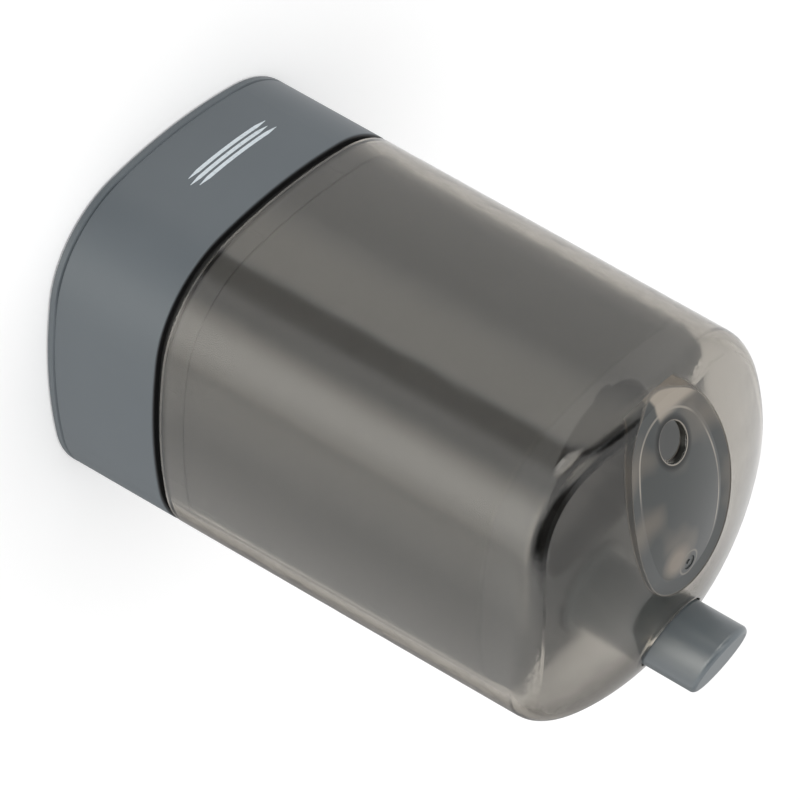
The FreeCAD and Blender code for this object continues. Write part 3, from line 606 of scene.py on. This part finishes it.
@dataclass(frozen=True)
class PadPrintInk:
    """White pad-printing ink: a thin, even film with slightly starved spots."""

    name: str = "pad_print_ink"
    starved: int = 0xC3CCD3
    full: int = 0xDCE4EA
    spot_mm: float = 0.5
    spot_span: Pair = (0.25, 0.5)
    roughness: float = 0.42
    ior: float = 1.5

    def material(self) -> Material:
        """Builds the material.

        Returns:
            The new material.
        """
        material, tree = blank_material(self.name)
        _, colour = clouded(tree, (self.starved, self.full), self.spot_mm, self.spot_span,
                            Detail=2.0)
        shader = add_node(tree, "ShaderNodeBsdfPrincipled", {
            "Base Color": colour, "Roughness": self.roughness, "IOR": self.ior})
        add_node(tree, "ShaderNodeOutputMaterial", {"Surface": shader.outputs["BSDF"]})
        return material


Finish = MouldedPlastic | SmokeTintedClear | SteelStock | PadRubber | PadPrintInk


# ---- dressing and mesh helpers -------------------------------------------------------------
@cache
def material_of(finish: Finish) -> Material:
    """Builds a finish's material once, however many pieces wear it."""
    return finish.material()


def dress(finish: Finish, *nodes: str) -> None:
    """Gives CAD nodes their material.

    Args:
        finish: Finish for all of each node.
        *nodes: Names of the nodes.
    """
    material = material_of(finish)
    for node in nodes:
        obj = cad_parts[node]
        if not obj.material_slots:
            obj.data.materials.append(material)
        for slot in obj.material_slots:
            slot.material = material
        log.info("dressed %s with %s", node, material.name)


def put_in_scene(mesh: bmesh.types.BMesh, name: str, material: Material) -> bpy.types.Object:
    """Turns a finished mesh into an object of the scene.

    Args:
        mesh: The mesh, which is freed.
        name: Name of the object.
        material: Material for all of it.

    Returns:
        The object.
    """
    data = bpy.data.meshes.new(name)
    mesh.to_mesh(data)
    mesh.free()
    data.materials.append(material)
    made = bpy.data.objects.new(name, data)
    bpy.context.scene.collection.objects.link(made)
    return made


# ---- sub-assemblies ------------------------------------------------------------------------
@dataclass
class PickMark:
    """Printed mark on the front of the base: plain picks, one above the other."""

    length_mm: float = 19.5
    thick_mm: float = 0.72
    point_mm: float = 2.6          # length over which a pick tapers to its point
    tip_share: float = 0.12        # of the thickness, left at the very tip
    pitch_mm: float = 1.2
    count: int = 3
    stagger_mm: float = 0.9
    centre_x_mm: float = -0.9
    centre_z_mm: float = 11.95
    film_mm: float = 0.02
    steps: int = 48
    search_from_mm: float = -100.0     # a place well in front of the base

    def build(self, ink: PadPrintInk) -> None:
        """Builds the mark as one thin film that follows the base's front and rides on it.

        Args:
            ink: Finish of the print.
        """
        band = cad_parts["base_band"]
        surface = BVHTree.FromObject(band, bpy.context.evaluated_depsgraph_get())
        mesh = bmesh.new()
        for row in range(self.count):
            lift = (row - (self.count - 1) / 2) * self.pitch_mm
            shift = self.stagger_mm * (row % 2 * 2 - 1) / 2
            self._pick(mesh, surface, self.centre_x_mm + shift, self.centre_z_mm + lift)
        mark = put_in_scene(mesh, "pick_mark", material_of(ink))
        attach(mark, "base")
        log.info("printed %d picks on the base", self.count)

    def _pick(self, mesh: bmesh.types.BMesh, surface: BVHTree, x_mm: float,
              z_mm: float) -> None:
        """Adds one pointed pick to the film.

        Args:
            mesh: Mesh under construction.
            surface: Search tree over the base's faces.
            x_mm: Middle of the pick across the front.
            z_mm: Height of its axis.
        """
        half = self.length_mm / 2
        film = self.film_mm * MM
        rims = []
        for i in range(self.steps + 1):
            along = -half + self.length_mm * i / self.steps
            share = min(1.0, self.tip_share + (half - abs(along)) / self.point_mm)
            thick = self.thick_mm / 2 * share
            ends = (self._on_front(surface, x_mm + along, z_mm + side * thick)
                    for side in (1, -1))
            rims.append([(mesh.verts.new(point + normal * film),
                          mesh.verts.new(point - normal * film)) for point, normal in ends])
        for (a, b), (c, d) in zip(rims, rims[1:]):
            mesh.faces.new((a[0], b[0], d[0], c[0]))
            mesh.faces.new((a[1], c[1], d[1], b[1]))
            mesh.faces.new((a[0], c[0], c[1], a[1]))
            mesh.faces.new((b[0], b[1], d[1], d[0]))
        for (a, b), flip in ((rims[0], False), (rims[-1], True)):
            loop = (a[0], a[1], b[1], b[0])
            mesh.faces.new(tuple(reversed(loop)) if flip else loop)

    def _on_front(self, surface: BVHTree, x_mm: float, z_mm: float) -> tuple[Vector, Vector]:
        """Finds a point of the base's front face.

        Args:
            surface: Search tree over the base's faces.
            x_mm: Place across the front.
            z_mm: Height.

        Returns:
            The point and the face's outward normal.
        """
        start = Vector((x_mm * MM, self.search_from_mm * MM, z_mm * MM))
        point, normal, _, _ = surface.ray_cast(start, Vector((0, 1, 0)))
        return point, normal if normal.y < 0 else -normal


@dataclass
class Base:
    """Band, cover, pads and screws, with the printed mark."""

    grey: MouldedPlastic
    plated: SteelStock
    pad: PadRubber
    ink: PadPrintInk

    def build(self) -> None:
        """Dresses the base's nodes and prints the mark."""
        dress(self.grey, "base_band", "bottom_cover")
        dress(self.plated, "cover_screws")
        dress(self.pad, "foot_pads")
        PickMark().build(self.ink)


@dataclass
class Hopper:
    """Dark tub for the picks, with its bushes and screws."""

    tub: MouldedPlastic
    bush: MouldedPlastic
    plated: SteelStock

    def build(self) -> None:
        """Dresses the hopper's nodes."""
        dress(self.tub, "hopper_tub")
        dress(self.bush, "lifter_guide", "stem_guide")
        dress(self.plated, "hopper_screws", "spring_washer")


@dataclass
class SpringCoil:
    """Compression spring under the button, its end turns closed; a press shortens it."""

    wire_mm: float = 0.8
    turns: float = 4.5
    closed_turns: float = 0.8      # at each end
    closed_pitch_mm: float = 0.84
    steps_per_turn: int = 32
    sides: int = 12
    joint: str = "button_press"
    slack_mm: float = 0.1          # left over it when the button is down

    def build(self, wire: SteelStock) -> None:
        """Winds the spring in the room of its CAD solid, which it replaces.

        It rides on the base.

        Args:
            wire: Finish of the wire.
        """
        low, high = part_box("return_spring")
        coil = put_in_scene(self._wound(low, high), "spring_coil", material_of(wire))
        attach(coil, "base")
        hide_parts("return_spring")
        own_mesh(coil)
        log.info("wound a spring of %.1f turns", self.turns)

    def _wound(self, low: Vector, high: Vector) -> bmesh.types.BMesh:
        """Winds the wire as a closed mesh.

        Args:
            low: Lowest corner of the room that it fills.
            high: Highest corner.

        Returns:
            The mesh.
        """
        axis = (low + high) / 2
        wire = self.wire_mm * MM / 2
        radius = (high.x - low.x) / 2 - wire
        count = round(self.turns * self.steps_per_turn)
        line = [self._centre(i / self.steps_per_turn, radius, low.z + wire, high.z - wire)
                for i in range(count + 1)]
        mesh = bmesh.new()
        rings = []
        for i, (place, out) in enumerate(line):
            along = (line[min(i + 1, count)][0] - line[max(i - 1, 0)][0]).normalized()
            up = along.cross(out).normalized()
            angles = (2 * math.pi * k / self.sides for k in range(self.sides))
            rings.append([mesh.verts.new(
                place + Vector((axis.x, axis.y, 0.0))
                + wire * (math.cos(a) * out + math.sin(a) * up)) for a in angles])
        for one, other in zip(rings, rings[1:]):
            for k in range(self.sides):
                n = (k + 1) % self.sides
                mesh.faces.new((one[k], one[n], other[n], other[k])).smooth = True
        mesh.faces.new(tuple(reversed(rings[0])))
        mesh.faces.new(rings[-1])
        bmesh.ops.recalc_face_normals(mesh, faces=mesh.faces)
        return mesh

    def _centre(self, turn: float, radius: float, bottom: float,
                top: float) -> tuple[Vector, Vector]:
        """Finds a point of the wire's centre line, round the spring's own axis.

        Args:
            turn: Turns from the lower end.
            radius: Radius of the centre line in metres.
            bottom: Height of its lower end.
            top: Height of its upper end.

        Returns:
            The point, and the direction from the axis to it.
        """
        closed = self.closed_pitch_mm * MM
        open_turns = self.turns - 2 * self.closed_turns
        pitch = (top - bottom - 2 * self.closed_turns * closed) / open_turns
        lifted = min(max(turn - self.closed_turns, 0.0), open_turns)
        height = bottom + (turn - lifted) * closed + lifted * pitch
        angle = 2 * math.pi * turn
        out = Vector((math.cos(angle), math.sin(angle), 0.0))
        return out * radius + Vector((0.0, 0.0, height)), out


@dataclass
class LiftingGear:
    """Button with stem and spring, the rocker with its bracket and pin, and the lifter."""

    button: MouldedPlastic
    acetal: MouldedPlastic
    plated: SteelStock
    cross_pin: SteelStock
    rod: SteelStock
    wire: SteelStock

    def build(self) -> None:
        """Dresses the mechanism's nodes and winds the spring."""
        dress(self.button, "button_cap")
        dress(self.acetal, "rocker_lever", "lifter_cup")
        dress(self.plated, "fulcrum_bracket", "fulcrum_clip", "bracket_screws", "stem_clip")
        dress(self.cross_pin, "fulcrum_pin", "stem_pin", "lifter_pin")
        dress(self.rod, "button_stem", "lifter_rod")
        SpringCoil().build(self.wire)


@dataclass
class Shell:
    """Smoke-tinted clear shell."""

    clear: SmokeTintedClear

    def build(self) -> None:
        """Dresses the shell."""
        dress(self.clear, "smoky_shell")


# ---- studio --------------------------------------------------------------------------------
@dataclass
class Softbox:
    """One rectangular studio lamp."""

    name: str
    place_m: Triple
    aim_m: Triple
    size_m: Pair
    watts: float

    def build(self) -> None:
        """Makes the lamp and aims it; neither the eye nor reflections show it."""
        light = bpy.data.lights.new(self.name, "AREA")
        light.shape = "RECTANGLE"
        light.size, light.size_y = self.size_m
        light.energy = self.watts
        lamp = bpy.data.objects.new(self.name, light)
        lamp.location = self.place_m
        aim = Vector(self.aim_m) - Vector(self.place_m)
        lamp.rotation_euler = aim.to_track_quat("-Z", "Y").to_euler()
        lamp.visible_camera = False
        lamp.visible_glossy = False
        bpy.context.scene.collection.objects.link(lamp)
        log.info("lamp %s, %.2f W", self.name, self.watts)


@dataclass(frozen=True)
class Panel:
    """Panel round the set that only reflections show: a lit strip or spot, or a flag."""

    name: str
    azimuth_deg: float             # from +X towards +Y
    core_deg: float                # half the width of its even part
    edge_deg: float                # half the width at which it has faded out
    gain: float                    # brighter or darker than the white studio, which is 1
    height_deg: float | None = None    # of a round panel's middle; a tall strip has none


@dataclass(frozen=True)
class PaintedFloorShadow:
    """Painted shadow on the sweep behind the dispenser, a soft dark oval that the clear shell
    shows.
    """

    place_mm: Pair = (-65.0, 145.0)
    half_mm: Pair = (150.0, 62.0)
    turn_deg: float = 123.4
    depth: float = 0.75            # share of the white that it takes at its middle
    core: float = 0.35             # share of its size that is evenly dark


@dataclass
class Studio:
    """White sweep, ambient light, softboxes, panels for the reflections, and the camera."""

    floor_half_m: float = 4.0
    floor_white: int = 0xF4F4F4
    floor_lift: float = 0.22       # keeps the sweep white to the eye without more lamp light
    # painted shadow on the sweep, which only the clear shell shows
    shade: PaintedFloorShadow = PaintedFloorShadow()
    ambient: float = 0.72
    strip_colour: int = 0xFFFBF3   # the strip lights are a little warmer than the rest
    strip_gain: Pair = (1.0, 2.0)  # brightness over which that warmth comes in
    strip_top_deg: Pair = (32.0, 8.0)      # heights where tall strips end and are whole
    set_middle_m: Triple = (0.0, 0.0, 0.06)
    lens_mm: float = 205.85
    sensor_mm: float = 36.0
    clip_m: Pair = (0.01, 50.0)
    camera_place_m: Triple = (0.431614, -0.525498, 0.386454)
    camera_right: Triple = (-0.62657, -0.01424, 0.77924)
    camera_down: Triple = (0.53348, 0.72105, 0.44214)
    camera_ahead: Triple = (-0.56817, 0.69274, -0.44418)

    def build(self) -> None:
        """Sets up the whole studio."""
        self._floor()
        self._world()
        for lamp in self._lamps():
            lamp.build()
        self._camera()
        bpy.context.scene.view_settings.view_transform = "Standard"

    def _lamps(self) -> list[Softbox]:
        """Lists the lamps.

        Returns:
            A wide overhead box and a side fill.
        """
        return [
            Softbox("overhead", (0.15, -0.25, 0.9), self.set_middle_m, (0.9, 0.9), 3.2),
            Softbox("side_fill", (0.9, 0.25, 0.45), self.set_middle_m, (0.6, 0.9), 0.5),
        ]

    def _panels(self) -> list[Panel]:
        """Lists what stands round the set.

        Returns:
            The tall strips and flags, and then the round ones.
        """
        return [
            Panel("flag", -84.0, 3.0, 20.0, -0.85),
            Panel("narrow_strip", -111.0, 3.0, 18.0, 0.9),
            Panel("wide_strip", -17.0, 3.0, 36.0, 2.0),
            Panel("wide_strip_lamp", -17.0, 2.0, 20.0, 0.8),
            Panel("far_strip", 22.0, 3.0, 26.0, 0.7),
            Panel("rear_flag", 104.0, 12.0, 32.0, -0.66),
            Panel("low_spot", -81.0, 9.0, 19.0, 3.4, -1.0),
            Panel("rear_ceiling", 112.0, 22.0, 48.0, -0.28, 58.0),
            Panel("ceiling_flag", -20.0, 14.0, 27.0, -1.0, 62.0),
            Panel("shoulder_flag", -8.0, 8.0, 20.0, -0.8, 34.0),
            Panel("front_flag", -105.0, 8.0, 16.0, -0.95, 22.0),
            Panel("thin_flag", -116.0, 5.0, 12.0, -0.9, 43.0),
            Panel("spot", -82.0, 6.0, 16.0, 1.4, 52.0),
        ]

    def _floor(self) -> None:
        """Makes the sweep that the dispenser stands on; reflections show panels instead."""
        material, tree = blank_material("white_sweep")
        ray = add_node(tree, "ShaderNodeLightPath")
        paper = add_node(tree, "ShaderNodeBsdfDiffuse", {"Color": linear(self.floor_white)})
        # What the clear shell shows of the sweep has a painted shadow.
        painted_shadow_paper = add_node(tree, "ShaderNodeBsdfDiffuse", {"Color": self._white_with_painted_shadow(tree)})
        lift = add_node(tree, "ShaderNodeEmission", {"Strength": self.floor_lift})
        lifted = add_node(tree, "ShaderNodeAddShader", {
            0: paper.outputs["BSDF"], 1: lift.outputs["Emission"]})
        through = add_node(tree, "ShaderNodeMixShader", {
            0: ray.outputs["Is Transmission Ray"], 1: paper.outputs["BSDF"],
            2: painted_shadow_paper.outputs["BSDF"]})
        seen = add_node(tree, "ShaderNodeMixShader", {
            0: ray.outputs["Is Camera Ray"], 1: through.outputs["Shader"],
            2: lifted.outputs["Shader"]})
        add_node(tree, "ShaderNodeOutputMaterial", {"Surface": seen.outputs["Shader"]})
        mesh = bmesh.new()
        mesh.faces.new([
            mesh.verts.new((x * self.floor_half_m, y * self.floor_half_m, 0.0))
            for x, y in ((-1, -1), (1, -1), (1, 1), (-1, 1))])
        sweep = put_in_scene(mesh, "sweep", material)
        sweep.visible_glossy = False

    def _white_with_painted_shadow(self, tree: Tree) -> Socket:
        """Works out the sweep's colour as the clear shell shows it, with a painted shadow
        behind.

        Args:
            tree: Node tree of the sweep's material.

        Returns:
            Socket with the colour.
        """
        shade = self.shade
        place = add_node(tree, "ShaderNodeTexCoord").outputs["Object"]
        local = add_node(tree, "ShaderNodeMapping", {
            "Vector": place, "Location": (*(v * MM for v in shade.place_mm), 0.0),
            "Rotation": (0.0, 0.0, math.radians(shade.turn_deg)),
            "Scale": (*(v * MM for v in shade.half_mm), 1.0)}, vector_type="TEXTURE")
        reach = add_node(tree, "ShaderNodeVectorMath", {0: local.outputs["Vector"]},
                         operation="LENGTH")
        share = add_node(tree, "ShaderNodeMapRange", {
            "Value": reach.outputs["Value"], "From Min": 1.0, "From Max": shade.core,
            "To Max": shade.depth}, interpolation_type="SMOOTHSTEP")
        return add_node(tree, "ShaderNodeMix", {
            "Factor": share.outputs["Result"], MIX_A: linear(self.floor_white),
            MIX_B: linear(0x000000)}, data_type="RGBA").outputs[MIX_RESULT]

    def _world(self) -> None:
        """Sets the ambient light, the white behind the set, and what reflections show."""
        world = bpy.data.worlds.new("studio_ambient")
        world.use_nodes = True
        tree = world.node_tree
        tree.nodes.clear()
        ray = add_node(tree, "ShaderNodeLightPath")
        soft = add_node(tree, "ShaderNodeBackground", {
            "Color": WHITE, "Strength": self.ambient})
        white = add_node(tree, "ShaderNodeBackground", {"Color": WHITE, "Strength": 1.0})
        light = self._panel_light(tree)
        warm = add_node(tree, "ShaderNodeMapRange", {
            "Value": light, "From Min": self.strip_gain[0], "From Max": self.strip_gain[1]})
        hue = add_node(tree, "ShaderNodeMix", {
            "Factor": warm.outputs["Result"], MIX_A: WHITE,
            MIX_B: linear(self.strip_colour)}, data_type="RGBA")
        panels = add_node(tree, "ShaderNodeBackground", {
            "Color": hue.outputs[MIX_RESULT], "Strength": light})
        behind = add_node(tree, "ShaderNodeMixShader", {
            0: ray.outputs["Is Camera Ray"], 1: soft.outputs["Background"],
            2: white.outputs["Background"]})
        seen = add_node(tree, "ShaderNodeMixShader", {
            0: ray.outputs["Is Glossy Ray"], 1: behind.outputs["Shader"],
            2: panels.outputs["Background"]})
        add_node(tree, "ShaderNodeOutputWorld", {"Surface": seen.outputs["Shader"]})
        bpy.context.scene.world = world

    def _panel_light(self, tree: Tree) -> Socket:
        """Works out how bright the studio is in each direction, for reflections.

        Args:
            tree: The world's node tree.

        Returns:
            Socket with the brightness, 1 for the white studio.
        """
        ahead = add_node(tree, "ShaderNodeTexCoord").outputs["Generated"]
        level = add_node(tree, "ShaderNodeVectorMath", {0: ahead, 1: PLAN},
                         operation="MULTIPLY")
        compass = add_node(tree, "ShaderNodeVectorMath", {0: level.outputs["Vector"]},
                           operation="NORMALIZE").outputs["Vector"]
        height = add_node(tree, "ShaderNodeSeparateXYZ", {"Vector": ahead})
        gone, whole = (math.sin(math.radians(v)) for v in self.strip_top_deg)
        low = add_node(tree, "ShaderNodeMapRange", {
            "Value": height.outputs["Z"], "From Min": gone, "From Max": whole},
            interpolation_type="SMOOTHSTEP").outputs["Result"]
        light = 1.0
        for panel in self._panels():
            tall = panel.height_deg is None
            turn = math.radians(panel.azimuth_deg)
            rise = math.radians(panel.height_deg or 0.0)
            aim = (math.cos(turn) * math.cos(rise), math.sin(turn) * math.cos(rise),
                   math.sin(rise))
            edge, core = (math.cos(math.radians(half))
                          for half in (panel.edge_deg, panel.core_deg))
            facing = add_node(tree, "ShaderNodeVectorMath", {
                0: compass if tall else ahead, 1: aim}, operation="DOT_PRODUCT")
            share = add_node(tree, "ShaderNodeMapRange", {
                "Value": facing.outputs["Value"], "From Min": edge, "From Max": core},
                interpolation_type="SMOOTHSTEP", label=panel.name).outputs["Result"]
            if tall:
                share = add_node(tree, "ShaderNodeMath", {0: share, 1: low},
                                 operation="MULTIPLY").outputs["Value"]
            light = add_node(tree, "ShaderNodeMath", {0: share, 1: panel.gain, 2: light},
                             operation="MULTIPLY_ADD").outputs["Value"]
        return add_node(tree, "ShaderNodeMath", {0: light, 1: 0.0},
                        operation="MAXIMUM").outputs["Value"]

    def _camera(self) -> None:
        """Places the camera, tilted over on its side as a hand-held one would be."""
        data = bpy.data.cameras.new("view")
        data.sensor_width = self.sensor_mm
        data.lens = self.lens_mm
        data.clip_start, data.clip_end = self.clip_m
        camera = bpy.data.objects.new("view", data)
        right, up = Vector(self.camera_right), -Vector(self.camera_down)
        turn = Matrix((right, up, -Vector(self.camera_ahead))).transposed()
        camera.matrix_world = Matrix.Translation(self.camera_place_m) @ turn.to_4x4()
        bpy.context.scene.collection.objects.link(camera)
        bpy.context.scene.camera = camera


def main() -> None:
    """Builds each sub-assembly in order."""
    logging.basicConfig(level=logging.INFO)
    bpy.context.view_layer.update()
    # ABS from a spark-eroded tool: an even satin that holds no sharp highlight.
    # Painted shade darkens the groove under the shell's mouth.
    grey_abs = MouldedPlastic("moulded_grey_abs", 0x5E656A, 0x62696E, roughness=0.46,
                              sheen=0.34, painted_shade_mm=(22.9, 24.9))
    hopper_abs = MouldedPlastic("moulded_dark_abs", 0x5A5E62, 0x5E6266, roughness=0.45)
    # The same plastic from a smoother tool: its slope and edge shine a little.
    button_abs = MouldedPlastic("moulded_grey_button", 0x5B6367, 0x60686D, roughness=0.30,
                                sheen=0.8)
    # Acetal is milky and slightly waxy.
    acetal = MouldedPlastic("natural_acetal", 0xE3E1D9, 0xDAD8CF, roughness=0.38, ior=1.48)
    # Plating is evenly bright; ground stock shows fine lines along its length.
    zinc = SteelStock("zinc_plate", 0xB9BCBF, 0.36, Draw.EVEN, line_mm=0.2)
    pin = SteelStock("ground_pin_steel", 0xA9ABAD, 0.28, Draw.ALONG_X)
    rod = SteelStock("ground_rod_steel", 0xA9ABAD, 0.28, Draw.ALONG_Z)
    wire = SteelStock("spring_wire", 0x9A9C9E, 0.3, Draw.EVEN)
    Base(grey_abs, zinc, PadRubber(), PadPrintInk()).build()
    Hopper(hopper_abs, acetal, zinc).build()
    LiftingGear(button_abs, acetal, zinc, pin, rod, wire).build()
    Shell(SmokeTintedClear("smoke_tinted_styrene", 0xB6AC99, density_per_m=300.0)).build()
    Studio().build()


if __name__ == "__main__":
    main()
